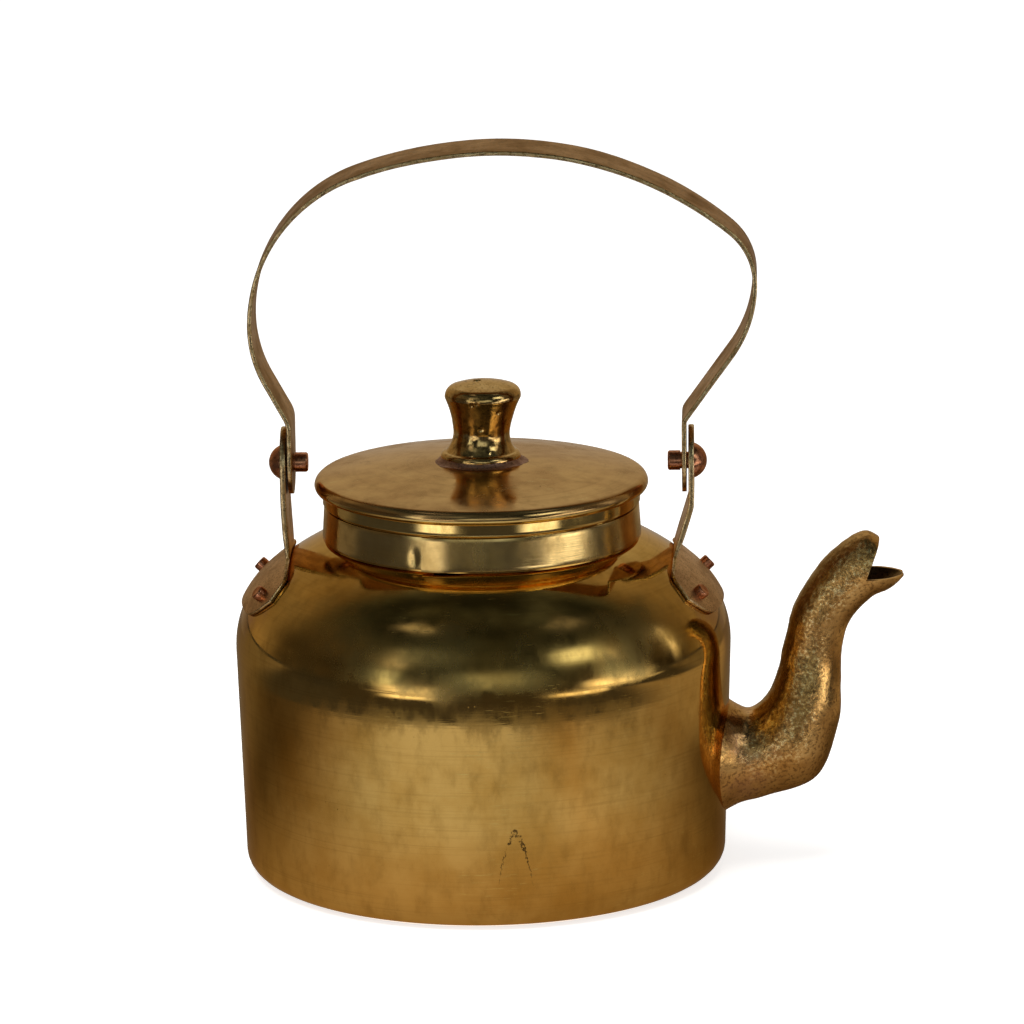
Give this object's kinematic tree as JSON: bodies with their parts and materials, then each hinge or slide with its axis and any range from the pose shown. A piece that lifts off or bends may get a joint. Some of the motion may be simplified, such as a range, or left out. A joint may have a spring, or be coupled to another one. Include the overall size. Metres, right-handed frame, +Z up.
{
  "type": "tea kettle",
  "caption": "Round spun brass tea kettle with a banded neck, a cast beaked spout, a loose domed lid with a waisted knob and a flat strip bail that swings on riveted brackets.",
  "frame": {"origin": "centre of the flat base, on the axis of the round body", "axes": "+Z up along the body axis, +X towards the spout, bail pivots along X; the camera of the picture looks along +Y"},
  "size_m": [0.2234, 0.1656, 0.2454],
  "materials": {
    "spun_brass": "polished, worn",
    "band_brass": "brushed",
    "cast_brass": "as cast, part polished",
    "strip_brass": "dull, filed edges",
    "bail_brass": "dull, worn edges",
    "lid_brass": "polished, worn",
    "copper": "polished copper",
    "braze": "tarnished braze"
  },
  "bodies": {
    "kettle": {"body_shell": "spun_brass", "neck_band": "band_brass", "spout": "cast_brass", "bracket_left": "strip_brass", "bracket_right": "strip_brass", "rivet_left_front": "copper", "rivet_left_rear": "copper", "rivet_right_front": "copper", "rivet_right_rear": "copper", "pivot_rivet_left": "copper", "pivot_rivet_right": "copper"},
    "lid": {"lid_disc": "lid_brass", "lid_skirt": "lid_brass", "lid_knob": "cast_brass", "knob_braze": "braze"},
    "bail": {"bail_handle": "bail_brass"}
  },
  "joints": [
    {"name": "bail_swing", "type": "hinge", "parent": "kettle", "child": "bail", "pos_m": [0, 0, 0.1385], "axis": [1, 0, 0], "range_deg": [-100, 100]},
    {"name": "lid_lift", "type": "slide", "parent": "kettle", "child": "lid", "axis": [0, 0, 1], "range_m": [0, 0.06]}
  ]
}
